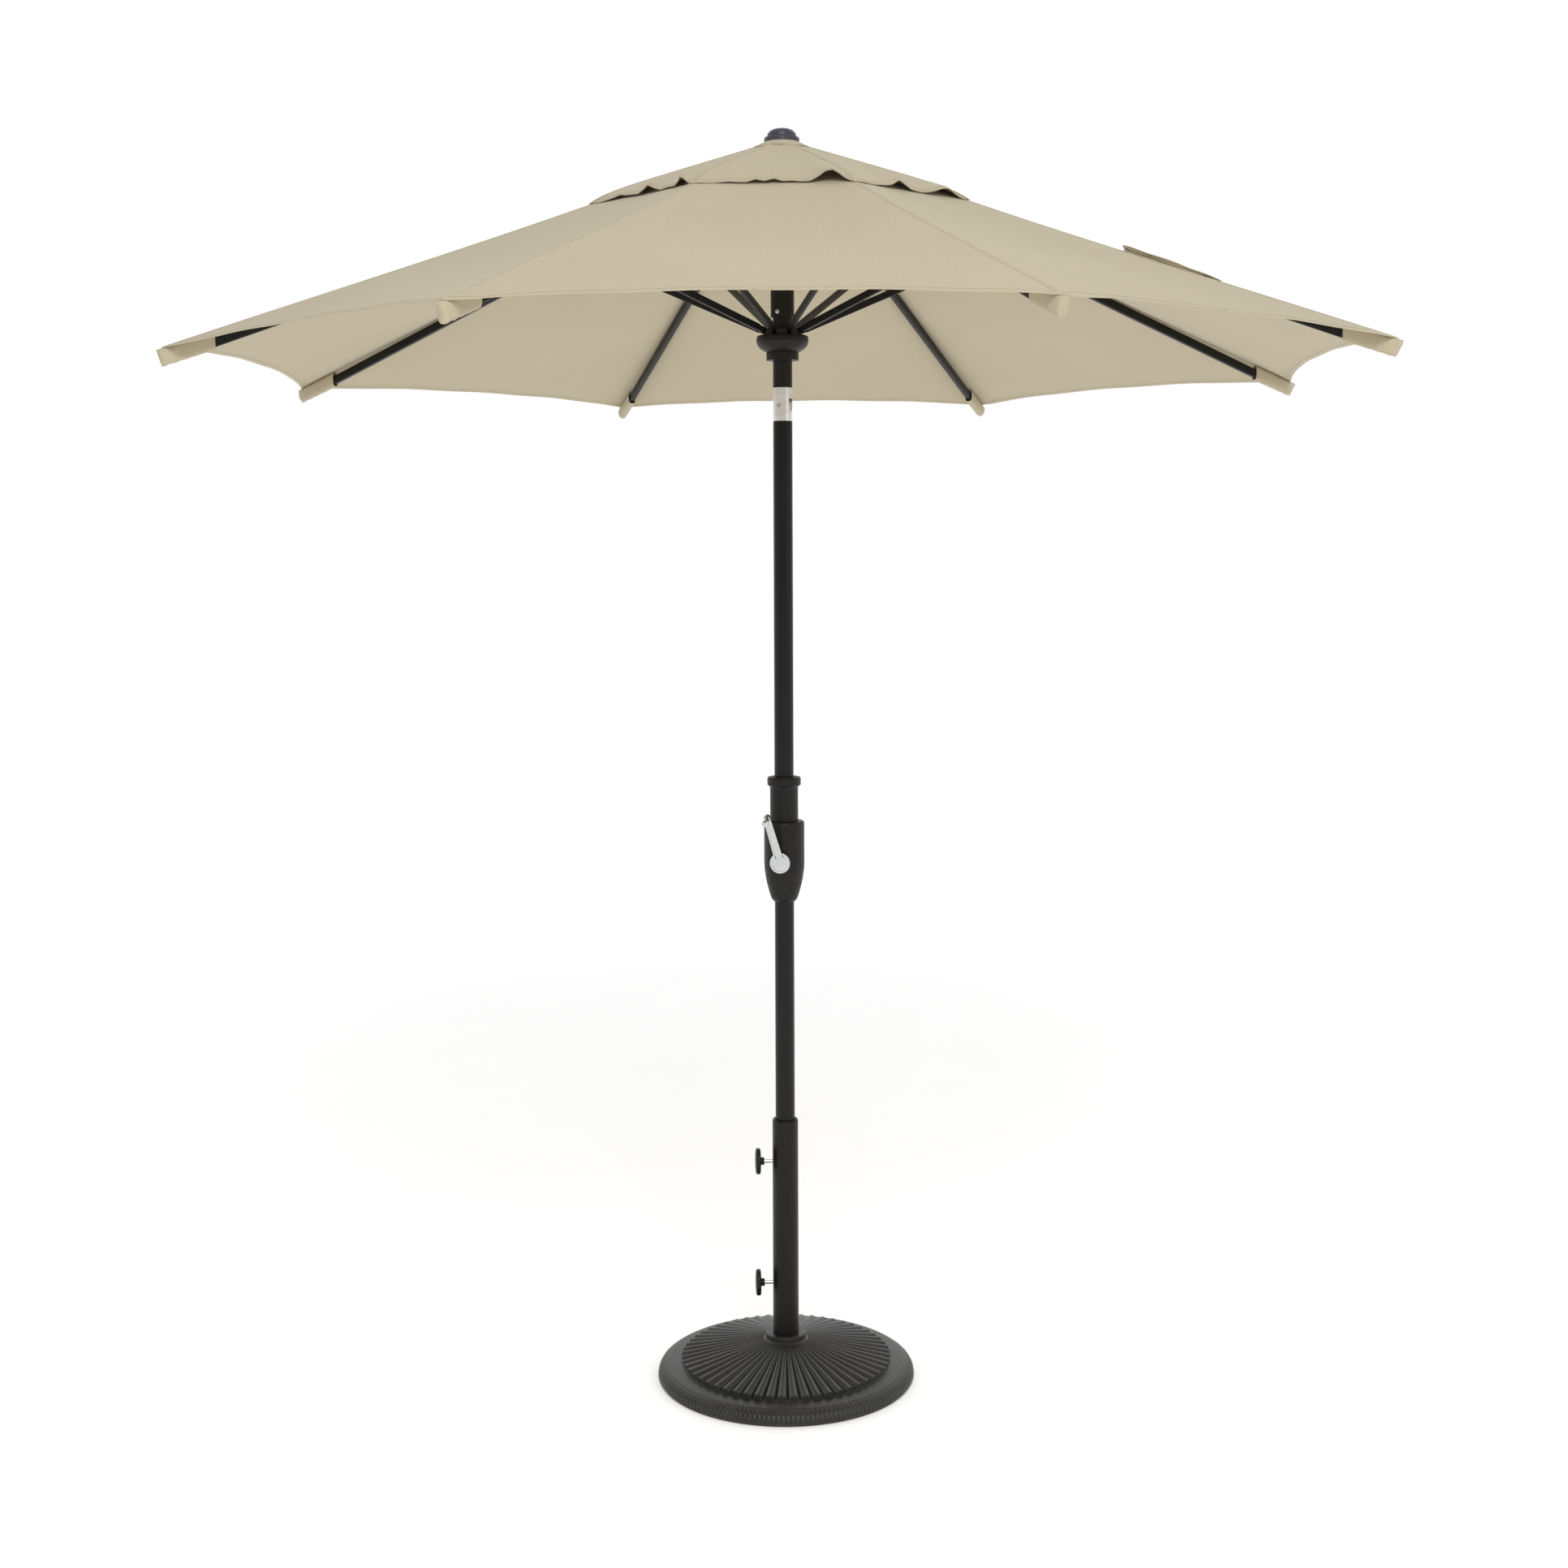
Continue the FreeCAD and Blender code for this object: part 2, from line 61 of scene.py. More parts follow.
HOLE_R = 0.285                       # inner edge of the main cloth, under the vent
VENT_R0, VENT_R1 = 0.050, 0.395
VENT_SLOPE = 0.3475
VENT_TOP = 2.4438                    # the vent's ridge lines meet the axis here
UPRIGHT, VENT_UPRIGHT = 0.92, 0.94   # the upward part of a panel's normal
SIDE_FALL = math.tan(HALF)           # beside a ridge, a panel falls by this times its slope
CLOTH_T = 0.0010
PANEL_GRID = {"canopy": (0.020, 19, 34), "vent": (0.013, 15, 18)}   # hem, columns to the middle, rows
CANOPY_BOW, FRONT_BOW, VENT_BOW = 0.037, 0.005, 0.010   # how far a hem bows in between its corners
BOW_POWER = 2.3                      # 2 would be a parabola
TAPE_HALF = 0.0048
SEAM_RISE = 0.0003                   # hem and crown stitches follow a line this far off the cloth
CROWN_R = 0.059
CLAMP_R, CLAMP_Z = 0.0345, 2.4366    # the flat middle of the crown cloth, under the finial
BELLY, VENT_BELLY = 0.010, 0.003     # sag in the middle of a panel
VENT_DROP, VENT_DROP_RUN = 0.0125, 0.035   # how far the vent's hem hangs down, and over what length
PLEAT_LEAN = math.radians(1.8)       # between a half-panel and the direction that it is squashed in
PLEAT_ANCHOR_R = 0.6
STRAP_X, STRAP_Y = 0.709, 0.0185     # the closing strap's stud, out from the axis and beside the ridge
RIVET_R, RIVET_Z = 0.0245, 2.100


# ---- camera, floor and light --------------------------------------------
def add_camera():
    turn, away, height = math.radians(2.4), 4.049, 1.632
    cam = bpy.data.objects.new("camera", bpy.data.cameras.new("camera"))
    bpy.context.collection.objects.link(cam)
    cam.location = (away * math.sin(turn), -away * math.cos(turn), height)
    cam.rotation_euler = (math.pi / 2, 0.0036, turn)
    cam.data.lens, cam.data.sensor_width = 46.93, 36
    cam.data.shift_x, cam.data.shift_y = 0.0005, -0.1499
    cam.data.clip_end = 100
    bpy.context.scene.camera = cam


def add_light(name, where, aim, power, width, height):
    """Rectangular area light that points at a place."""
    data = bpy.data.lights.new(name, "AREA")
    data.energy = power
    data.shape, data.size, data.size_y = "RECTANGLE", width, height
    light = bpy.data.objects.new(name, data)
    bpy.context.collection.objects.link(light)
    light.location = where
    light.rotation_euler = (Vector(aim) - Vector(where)).to_track_quat("-Z", "Y").to_euler()


def set_world(strength):
    """White backdrop behind the umbrella, and a dimmer room on the viewer's side."""
    world = bpy.data.worlds.new("studio")
    bpy.context.scene.world = world
    world.use_nodes = True
    tree = world.node_tree
    back = tree.nodes["Background"]
    back.inputs["Strength"].default_value = strength
    split = tree.nodes.new("ShaderNodeSeparateXYZ")
    tree.links.new(tree.nodes.new("ShaderNodeTexCoord").outputs["Generated"], split.inputs[0])
    fade = tree.nodes.new("ShaderNodeMapRange")
    fade.interpolation_type = "SMOOTHSTEP"
    for key, v in (("From Min", -0.75), ("From Max", 0.80), ("To Min", 0.42), ("To Max", 1.0)):
        fade.inputs[key].default_value = v
    tree.links.new(split.outputs["Y"], fade.inputs["Value"])
    tree.links.new(fade.outputs["Result"], back.inputs["Color"])


def add_floor():
    """White ground, brighter far away, so that it runs into the backdrop."""
    far, drop = 30, 0.0005
    corners = [(-far, -far, -drop), (far, -far, -drop), (far, far, -drop), (-far, far, -drop)]
    floor = link_mesh("floor", corners, [(0, 1, 2, 3)], smooth=False)
    n = Nodes("floor_white")
    pale, white = (0.975, 0.975, 0.975), (0.99, 0.99, 0.99)
    n.link(n.ramp(n.noise(n.coords(), 3.0), [(0.3, pale), (0.7, white)]), n.bsdf.inputs["Base Color"])
    away = n.add("ShaderNodeVectorMath", operation="LENGTH")
    n.link(n.coords(), away.inputs[0])
    n.link(n.span(away.outputs["Value"], 0.20, 0.34, 1.5, 6.0), n.bsdf.inputs["Emission Strength"])
    n.set(Roughness=0.8, Emission_Color=(1, 1, 1, 1))
    floor.data.materials.append(n.mat)


def link_mesh(name, verts, faces, smooth=True):
    mesh = bpy.data.meshes.new(name)
    mesh.from_pydata([tuple(v) for v in verts], [], faces)
    mesh.update()
    if smooth:
        mesh.shade_smooth()
    obj = bpy.data.objects.new(name, mesh)
    bpy.context.collection.objects.link(obj)
    return obj


# ---- materials ----------------------------------------------------------
class Nodes:
    """A new material and short calls for its node tree."""

    def __init__(self, name):
        self.mat = bpy.data.materials.new(name)
        self.mat.use_nodes = True
        self.tree = self.mat.node_tree
        self.bsdf = self.tree.nodes["Principled BSDF"]

    def add(self, kind, **values):
        node = self.tree.nodes.new(kind)
        for key, value in values.items():
            if hasattr(node, key):
                setattr(node, key, value)
            else:
                node.inputs[key.replace("_", " ")].default_value = value
        return node

    def link(self, out, into):
        self.tree.links.new(out, into)
        return out

    def coords(self, scale=(1, 1, 1), uv=None):
        if uv:
            src = self.add("ShaderNodeUVMap", uv_map=uv).outputs["UV"]
        else:
            src = self.add("ShaderNodeTexCoord").outputs["Object"]
        m = self.add("ShaderNodeMapping")
        m.inputs["Scale"].default_value = scale
        self.link(src, m.inputs["Vector"])
        return m.outputs["Vector"]

    def noise(self, vector, scale, detail=3.0, rough=0.5):
        n = self.add("ShaderNodeTexNoise", Scale=scale, Detail=detail, Roughness=rough)
        self.link(vector, n.inputs["Vector"])
        return n.outputs["Fac"]

    def math(self, op, a, b):
        n = self.add("ShaderNodeMath", operation=op)
        for i, v in enumerate((a, b)):
            if isinstance(v, (int, float)):
                n.inputs[i].default_value = v
            else:
                self.link(v, n.inputs[i])
        return n.outputs[0]

    def ramp(self, fac, stops):
        """Colour ramp with two stops."""
        n = self.add("ShaderNodeValToRGB")
        for el, (pos, col) in zip(n.color_ramp.elements, stops):
            el.position = pos
            el.color = (*col, 1)
        self.link(fac, n.inputs["Fac"])
        return n.outputs["Color"]

    def span(self, fac, low, high, in_low=0.0, in_high=1.0):
        n = self.add("ShaderNodeMapRange")
        for key, v in (("From Min", in_low), ("From Max", in_high), ("To Min", low), ("To Max", high)):
            n.inputs[key].default_value = v
        self.link(fac, n.inputs["Value"])
        return n.outputs["Result"]

    def bump(self, height, distance, strength=1.0, normal=None):
        n = self.add("ShaderNodeBump", Distance=distance, Strength=strength)
        self.link(height, n.inputs["Height"])
        if normal is not None:
            self.link(normal, n.inputs["Normal"])
        return n.outputs["Normal"]

    def set(self, **values):
        for key, value in values.items():
            self.bsdf.inputs[key.replace("_", " ")].default_value = value


def shade(color, k):
    """The colour, k times as bright."""
    return tuple(min(1.0, c * k) for c in color)


def coated(name, color, rough, grain, depth, spec=0.5, mottle=0.12):
    """Powder-coated or moulded surface: fine grain, faint mottling and uneven gloss."""
    n = Nodes(name)
    at = n.coords()
    fine = n.noise(at, grain, 2.0)
    broad = n.noise(at, 9.0, 4.0, 0.6)
    n.link(n.ramp(broad, [(0.3, shade(color, 1 - mottle)), (0.7, shade(color, 1 + mottle))]),
           n.bsdf.inputs["Base Color"])
    both = n.math("ADD", n.math("MULTIPLY", broad, 0.6), n.math("MULTIPLY", fine, 0.4))
    n.link(n.span(both, rough - 0.06, rough + 0.08, 0.3, 0.7), n.bsdf.inputs["Roughness"])
    n.link(n.bump(fine, depth, 0.6), n.bsdf.inputs["Normal"])
    n.set(Specular_IOR_Level=spec)
    return n.mat


def metal(name, color, rough, lines=None, depth=0.00002, spread=0.05):
    """Bare metal. lines = (scale, stretch) gives a turned or drawn finish."""
    n = Nodes(name)
    scale, stretch = lines or (60.0, (1, 1, 1))
    at = n.coords(scale=stretch)
    streak = n.noise(at, scale, 4.0, 0.65)
    smudge = n.noise(n.coords(), 25.0, 3.0)
    n.link(n.ramp(streak, [(0.25, shade(color, 0.93)), (0.75, shade(color, 1.04))]),
           n.bsdf.inputs["Base Color"])
    mixed = n.math("ADD", n.math("MULTIPLY", streak, 0.5), n.math("MULTIPLY", smudge, 0.5))
    n.link(n.span(mixed, max(0.02, rough - spread), rough + spread, 0.3, 0.7),
           n.bsdf.inputs["Roughness"])
    n.link(n.bump(streak, depth, 0.5), n.bsdf.inputs["Normal"])
    n.set(Metallic=1.0)
    return n.mat


def cloth(name, color):
    """Woven canopy cloth: plain weave, slub threads and soft mottling, laid out on the flat panel."""
    n = Nodes(name)
    flat = n.coords(uv="panel")
    warp = n.add("ShaderNodeTexWave", wave_type="BANDS", bands_direction="X", wave_profile="SIN")
    weft = n.add("ShaderNodeTexWave", wave_type="BANDS", bands_direction="Y", wave_profile="SIN")
    for w in (warp, weft):
        w.inputs["Scale"].default_value = 300.0
        w.inputs["Distortion"].default_value = 0.6
        w.inputs["Detail"].default_value = 1.0
        n.link(flat, w.inputs["Vector"])
    weave = n.math("MAXIMUM", warp.outputs["Fac"], weft.outputs["Fac"])
    slub_x = n.noise(n.coords(scale=(4, 260, 1), uv="panel"), 1.0, 3.0)
    slub_y = n.noise(n.coords(scale=(260, 4, 1), uv="panel"), 1.0, 3.0)
    slub = n.math("MULTIPLY", n.math("ADD", slub_x, slub_y), 0.5)
    broad = n.noise(flat, 2.5, 4.0, 0.55)
    tone = n.math("ADD", n.math("MULTIPLY", slub, 0.55), n.math("MULTIPLY", broad, 0.45))
    n.link(n.ramp(tone, [(0.36, shade(color, 0.955)), (0.64, shade(color, 1.035))]),
           n.bsdf.inputs["Base Color"])
    n.link(n.span(weave, 0.92, 0.80), n.bsdf.inputs["Roughness"])
    first = n.bump(n.noise(flat, 45.0, 3.0), 0.0004, 0.25)
    n.link(n.bump(weave, 0.00012, 0.35, first), n.bsdf.inputs["Normal"])
    n.set(Sheen_Weight=0.12, Sheen_Roughness=0.5, Specular_IOR_Level=0.2)
    return n.mat


def stitch_thread(name, color):
    """Twisted sewing thread."""
    n = Nodes(name)
    at = n.coords()
    twist = n.noise(at, 900.0, 2.0)
    n.link(n.ramp(twist, [(0.3, shade(color, 0.9)), (0.7, shade(color, 1.08))]),
           n.bsdf.inputs["Base Color"])
    n.link(n.bump(twist, 0.0001, 0.5), n.bsdf.inputs["Normal"])
    n.set(Roughness=0.7)
    return n.mat


BEIGE = (0.475, 0.414, 0.290)
LOOKS = {
    "cast_black": coated("cast_black", (0.0215, 0.0210, 0.0200), 0.34, 700, 0.00030, 0.42, 0.25),
    "coated_steel": coated("coated_steel", (0.0070, 0.0060, 0.0050), 0.36, 1400, 0.00006, 0.24),
    "black_plastic": coated("black_plastic", (0.0070, 0.0062, 0.0055), 0.42, 1800, 0.00006, 0.26),
    "silver": metal("silver", (0.84, 0.83, 0.82), 0.30, (220.0, (0.05, 0.05, 1)), 0.00003),
    "chrome": metal("chrome", (0.550, 0.556, 0.554), 0.10, None, 0.00001, 0.04),
    "steel": metal("steel", (0.50, 0.49, 0.47), 0.32),
    "cap_plastic": coated("cap_plastic", (0.050, 0.045, 0.064), 0.38, 1500, 0.00008, 0.3),
    "rubber": coated("rubber", (0.045, 0.022, 0.016), 0.75, 900, 0.0002),
    "cloth": cloth("cloth", BEIGE),
    "thread": stitch_thread("thread", shade(BEIGE, 0.82)),
}

# ---- carried-over CAD nodes ---------------------------------------------
slots = {s["node"]: s["material_slot"] for s in frame["record"]["subparts"]}
slots["housing_screws"] = "coated_steel"     # drawn in the near-black coated look
for node, obj in frame["nodes"].items():
    look = LOOKS[slots[node]]
    for slot in obj.material_slots:
        slot.material = look
    if not obj.material_slots:
        obj.data.materials.append(look)


# ---- cloth --------------------------------------------------------------
def spin(points, angle):
    """Rows of points turned about the pole's axis."""
    c, s = math.cos(angle), math.sin(angle)
    return points @ np.array([[c, s, 0], [-s, c, 0], [0, 0, 1]])


def gore_points(rows, sigma, r0, z0, r1, slope, bow):
    """Flat gore between a rib at azimuth 0 and one at SECTOR, from rows of (share, distance to hem)."""
    def ridge(r, a):
        return np.array([r * math.cos(a), r * math.sin(a), z0 - slope * (r - r0)])

    mid = np.array([math.cos(HALF), math.sin(HALF), -slope / math.cos(HALF)])
    mid /= np.linalg.norm(mid)
    u = (sigma + 1) / 2
    inner = np.outer(1 - u, ridge(r0, 0)) + np.outer(u, ridge(r0, SECTOR))
    outer = np.outer(1 - u, ridge(r1, 0)) + np.outer(u, ridge(r1, SECTOR))
    outer -= np.outer(bow * (1 - np.abs(sigma) ** BOW_POWER), mid)
    run = np.linalg.norm(outer - inner, axis=1)
    share = np.array([np.clip(t - d / run, 0, 1) if t >= 1 else t * (1 - d / run)
                      for t, d in rows])
    pts = inner[None] + share[..., None] * (outer - inner)[None]
    normal = np.cross(ridge(r1, 0) - ridge(r0, 0), ridge(r0, SECTOR) - ridge(r0, 0))
    return pts, share, run, normal / np.linalg.norm(normal)


def smooth(x):
    """Eased step from 0 to 1."""
    x = np.clip(x, 0, 1)
    return x * x * (3 - 2 * x)


def add_uv(mesh, flat):
    """Writes the flat cloth coordinates, one pair per face corner."""
    layer = mesh.uv_layers.new(name="panel")
    layer.data.foreach_set("uv", np.asarray(flat, np.float32).ravel())


def slab(name, top, bottom, uv, closed=False):
    """Two-layer sheet from matching grids, its rim edges sharp. Closed joins the last column to the first."""
    n, m = top.shape[:2]
    verts = np.concatenate([top.reshape(-1, 3), bottom.reshape(-1, 3)])
    k, cols = n * m, m if closed else m - 1
    faces = []
    for i in range(n - 1):
        for j in range(cols):
            a, b = i * m + j, i * m + (j + 1) % m
            faces.append((a, a + m, b + m, b))
            faces.append((k + a, k + b, k + b + m, k + a + m))
    if closed:
        loops = [list(range(m)) + [0], [(n - 1) * m + j for j in [0] + list(range(m - 1, -1, -1))]]
    else:
        ring = ([(0, j) for j in range(m)] + [(i, m - 1) for i in range(1, n)]
                + [(n - 1, j) for j in range(m - 2, -1, -1)] + [(i, 0) for i in range(n - 2, -1, -1)])
        loops = [[i * m + j for i, j in ring]]
    rim = set()
    for ids in loops:
        for a, b in zip(ids, ids[1:]):
            faces.append((a, b, k + b, k + a))
            rim |= {frozenset((a, b)), frozenset((k + a, k + b))}
    obj = link_mesh(name, verts, faces)
    for e in obj.data.edges:
        e.use_edge_sharp = frozenset(e.vertices) in rim
    flat = np.concatenate([uv.reshape(-1, 2)] * 2)
    add_uv(obj.data, flat[[loop.vertex_index for loop in obj.data.loops]])
    obj.data.materials.append(LOOKS["cloth"])
    return obj


def loft(name, rings, material, sharp_ends=True):
    """Closed solid skinned over a row of closed outlines. Its length and girth are its flat coordinates."""
    n, m = rings.shape[:2]
    along = np.concatenate([[0], np.cumsum(np.linalg.norm(np.diff(rings.mean(1), axis=0), axis=1))])
    around = np.linalg.norm(np.roll(rings[n // 2], -1, 0) - rings[n // 2], axis=1)
    around = np.concatenate([[0], np.cumsum(around)])
    faces, flat = [], []
    for i in range(n - 1):
        for j in range(m):
            a, b = i * m + j, i * m + (j + 1) % m
            faces.append((a, b, b + m, a + m))
            flat += [(along[i], around[j]), (along[i], around[j + 1]),
                     (along[i + 1], around[j + 1]), (along[i + 1], around[j])]
    for i, ids in ((0, list(range(m - 1, -1, -1))), (n - 1, [(n - 1) * m + j for j in range(m)])):
        faces.append(tuple(ids))
        flat += [(along[i] + 0.1 * around[q % m], around[q % m]) for q in ids]
    obj = link_mesh(name, rings.reshape(-1, 3), faces)
    if sharp_ends:
        for e in obj.data.edges:
            a, b = sorted(e.vertices)
            e.use_edge_sharp = (b < m or a >= (n - 1) * m)
    add_uv(obj.data, flat)
    obj.data.materials.append(LOOKS[material])
    return obj


def thread_line(points, normals, length=0.0034, pitch=0.0046, half=0.00042):
    """Vertices and faces of a row of short sewn stitches along a line of points."""
    step = np.linalg.norm(np.diff(points, axis=0), axis=1)
    run = np.concatenate([[0], np.cumsum(step)])
    at = np.arange(pitch, run[-1] - pitch, pitch)
    place = np.stack([np.interp(at, run, points[:, k]) for k in range(3)], -1)
    ahead = np.stack([np.interp(at + 0.001, run, points[:, k]) for k in range(3)], -1) - place
    up = np.stack([np.interp(at, run, normals[:, k]) for k in range(3)], -1)
    ahead /= np.linalg.norm(ahead, axis=1)[:, None]
    side = np.cross(up, ahead)
    # one stitch as (along, across, up), pointed at both ends
    corners = [(-0.5, 0, -0.6)] + [(e, a, b) for e in (-0.28, 0.28)
                                   for a, b in ((-1, -0.2), (-0.6, 0.7), (0.6, 0.7), (1, -0.2))]
    corners.append((0.5, 0, -0.6))
    verts = np.stack([place + ahead * (length * e) + side * (half * a) + up * (half * b)
                      for e, a, b in corners], 1)
    shape = [(0, 2, 1), (0, 3, 2), (0, 4, 3), (0, 1, 4), (1, 2, 6, 5), (2, 3, 7, 6), (3, 4, 8, 7),
             (4, 1, 5, 8), (9, 5, 6), (9, 6, 7), (9, 7, 8), (9, 8, 5)]
    return verts.reshape(-1, 3), [tuple(10 * k + q for q in f) for k in range(len(at)) for f in shape]


def sew(name, lines):
    """One object from several rows of stitches."""
    verts, faces, count = [], [], 0
    for points, normals in lines:
        v, f = thread_line(points, normals)
        verts.append(v)
        faces += [tuple(q + count for q in face) for face in f]
        count += len(v)
    obj = link_mesh(name, np.concatenate(verts), faces)
    obj.data.materials.append(LOOKS["thread"])
    return obj


def sheet_area(grid):
    """Area of a grid of points, its quads split in two."""
    a, b, c, d = grid[:-1, :-1], grid[1:, :-1], grid[1:, 1:], grid[:-1, 1:]
    return float(0.5 * (np.linalg.norm(np.cross(b - a, c - a), axis=-1)
                        + np.linalg.norm(np.cross(c - a, d - a), axis=-1)).sum())


def corner_folds(pts, corner, along, across, gain, seed):
    """Soft folds that fan out of a corner pocket."""
    rel = pts - corner
    x, y = rel @ along, rel @ across
    d = np.hypot(x, y)
    ang = np.arctan2(y, -x)
    r = np.random.default_rng(seed)
    ph, k1, k2 = r.uniform(0, 6.28), r.uniform(9, 12), r.uniform(17, 22)
    fan = np.sin(k1 * ang + ph) + 0.5 * np.sin(k2 * ang + 2 * ph)
    return gain * fan * np.exp(-d / 0.11) * smooth(d / 0.05)


def belly(share, across):
    """Sag of the stretched cloth off its flat panel, across it from -1 at one rib to 1 at the next."""
    return -BELLY * np.sin(np.pi * share) ** 0.9 * (1 - across ** 2)


def vent_drop(to_hem, share, across):
    """The same for the vent, whose loose hem hangs lower."""
    hang = VENT_DROP * np.exp(-to_hem / VENT_DROP_RUN)
    return -hang - VENT_BELLY * np.sin(np.pi * share) * (1 - across ** 2)


def lift(azimuth, r):
    """How far the stretched cloth stands above the straight ridge line near a rib tip."""
    return (0.008 + 0.0035 * (1 + np.cos(azimuth - FRONT))) * smooth((r - 0.45) / (REACH - 0.30))


def hem_rows(hem, count):
    """Rows of a panel as (share of the run, distance back from the hem), close together at the hem."""
    near = [0.0, 0.0012, 0.2 * hem, 0.5 * hem, 0.78 * hem, 0.84 * hem, 0.9 * hem, 0.96 * hem,
            1.02 * hem, 1.09 * hem]
    return [(k / count, near[-1] + 0.004) for k in range(count + 1)] + [(1.0, d) for d in near[::-1]]


def columns(count):
    """Places across a panel from -1 to 1, close together at both ribs."""
    half = 1 - np.cos(np.linspace(0, math.pi / 2, count))
    return np.concatenate([half - 1, (1 - half[::-1])[1:]])


def main_shape(i, sigma, pts, share, run, nrm):
    """Height of the cloth over the flat panel: hanging belly, slow waves and folds at the corners."""
    r = np.random.default_rng(100 + i)
    s2 = np.broadcast_to(sigma, share.shape)
    to_hem = (1 - share) * run
    h = belly(np.clip(share, 0, 1), s2)
    h += 0.0018 * np.sin(2 * np.pi * (s2 * r.uniform(0.8, 1.2) + r.uniform(0, 1))
                         + 3 * share) * (1 - s2 ** 2) * np.sin(np.pi * share)
    h += 0.0008 * np.sin(np.pi * (s2 * r.uniform(3.5, 4.5) + r.uniform(0, 2))) \
        * (1 - s2 ** 4) * np.exp(-to_hem / 0.06)
    for side, az in ((-1, 0.0), (1, SECTOR)):
        corner = np.array([REACH * math.cos(az), REACH * math.sin(az), RIDGE_Z - SLOPE * REACH])
        along = np.array([math.cos(az), math.sin(az), -SLOPE])
        along /= np.linalg.norm(along)
        h += corner_folds(pts, corner, along, np.cross(nrm, along), 0.0024, 10 * i + side + 5) \
            * smooth((1 - np.abs(s2)) / 0.10)
    return h


# where the loose hem stands up on the three panels that face the viewer: place, width and height
# by panel number
VENT_ARCHES = {4: [(0.80, 0.10, 0.018), (0.10, 0.12, 0.011), (-0.45, 0.10, 0.006)],
               5: [(0.70, 0.16, 0.023), (0.0, 0.07, 0.006), (-0.24, 0.06, 0.004)],
               6: [(-0.20, 0.11, 0.016), (0.62, 0.17, 0.016)]}


def vent_shape(i, sigma, share, run):
    """The loose vent flap: ripples that grow towards its hem."""
    r = np.random.default_rng(300 + i)
    s2 = np.broadcast_to(sigma, share.shape)
    to_hem = (1 - share) * run
    h = vent_drop(to_hem, share, s2)
    arches = VENT_ARCHES.get(i) or [(r.uniform(-0.7, 0.7), r.uniform(0.09, 0.17), r.uniform(0.008, 0.018))
                                    for _ in range(3)]
    for centre, width, height in arches:
        h += height * np.exp(-((s2 - centre) / width) ** 2 - to_hem / 0.07) * (1 - s2 ** 8)
    ruffle = np.sin(np.pi * (s2 * r.uniform(4.6, 5.6) + r.uniform(0, 2)))
    return h + 0.0012 * ruffle * (1 - s2 ** 4) * np.exp(-to_hem / 0.06)


def panel_grids(i, kind):
    """Upper and lower face of a whole panel between rib i and the next, its flat layout and its normal."""
    main = kind == "canopy"
    az = FIRST + SECTOR * i
    hem, half_columns, row_count = PANEL_GRID[kind]
    sigma = columns(half_columns)
    rows = hem_rows(hem, row_count)
    if main:
        bow = CANOPY_BOW + FRONT_BOW * math.cos(az + HALF - FRONT)
        pts, share, run, nrm = gore_points(rows, sigma, HOLE_R, RIDGE_Z - SLOPE * HOLE_R, REACH, SLOPE,
                                           bow)
        h = main_shape(i, sigma, pts, share, run, nrm)
        u = (sigma + 1) / 2
        r = HOLE_R + share * (REACH - HOLE_R)
        pts[..., 2] += (1 - u) * lift(az, r) + u * lift(az + SECTOR, r)
    else:
        pts, share, run, nrm = gore_points(rows, sigma, VENT_R0, VENT_TOP - VENT_SLOPE * VENT_R0, VENT_R1,
                                           VENT_SLOPE, VENT_BOW)
        h = vent_shape(i, sigma, share, run)
    to_hem = (1 - share) * run
    band = np.where(to_hem < 0.95 * hem, 0.0005, 0.0)
    groove = -0.0004 * np.exp(-((to_hem - 0.9 * hem) / 0.0007) ** 2)
    top = pts + nrm * (h + band + groove)[..., None]
    bottom = pts + nrm * (h - CLOTH_T - band - groove)[..., None]
    width = np.linalg.norm(pts[:, -1] - pts[:, 0], axis=1)[:, None]
    uv = np.stack([share * run, np.broadcast_to(sigma, share.shape) * width / 2], -1)
    top, bottom = (spin(g.reshape(-1, 3), az).reshape(g.shape) for g in (top, bottom))
    return top, bottom, uv, spin(nrm[None], az)[0]


def pleat_press(nrm, azimuth, sign):
    """Direction and fixed point of the squash that packs a half-panel flat as the canopy folds."""
    along = np.array([math.cos(azimuth), math.sin(azimuth), -SLOPE])
    along /= np.linalg.norm(along)
    axis = sign * np.cross(nrm, along) * math.cos(PLEAT_LEAN) + nrm * math.sin(PLEAT_LEAN)
    return tuple(axis), (PLEAT_ANCHOR_R * math.cos(azimuth), PLEAT_ANCHOR_R * math.sin(azimuth),
                         RIDGE_Z - SLOPE * PLEAT_ANCHOR_R)


def make_panels(i, kind):
    """The two half-panels of the canopy or the vent between rib i and the next, and their hem seams."""
    top, bottom, uv, nrm = panel_grids(i, kind)
    seam_row = top.shape[0] - 4
    half = top.shape[1] // 2
    azimuth = FIRST + SECTOR * i
    made = []
    for part, cols, rib, rib_azimuth, sign in (
            ("a", slice(0, half + 1), i + 1, azimuth, 1),
            ("b", slice(half, None), (i + 1) % RIBS + 1, azimuth + SECTOR, -1)):
        body = "gore_%d%s" % (rib, part)
        obj = slab("%s_%d%s" % (kind, rib, part), top[:, cols], bottom[:, cols], uv[:, cols])
        normals = np.broadcast_to(nrm, top[seam_row, cols].shape)
        seam = sew("%s_hem_seam_%d%s" % (kind, rib, part),
                   [(top[seam_row, cols] + nrm * SEAM_RISE, normals),
                    (bottom[seam_row, cols] - nrm * SEAM_RISE, -normals)])
        axis, anchor = pleat_press(nrm, rib_azimuth, sign)
        press[rib, part] = (axis, anchor)
        for piece in (obj, seam):
            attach(piece, body)
            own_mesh(piece)
        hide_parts(body)
        made.append((kind, rib, part, obj, seam, sheet_area(top[:, cols])))
    return made


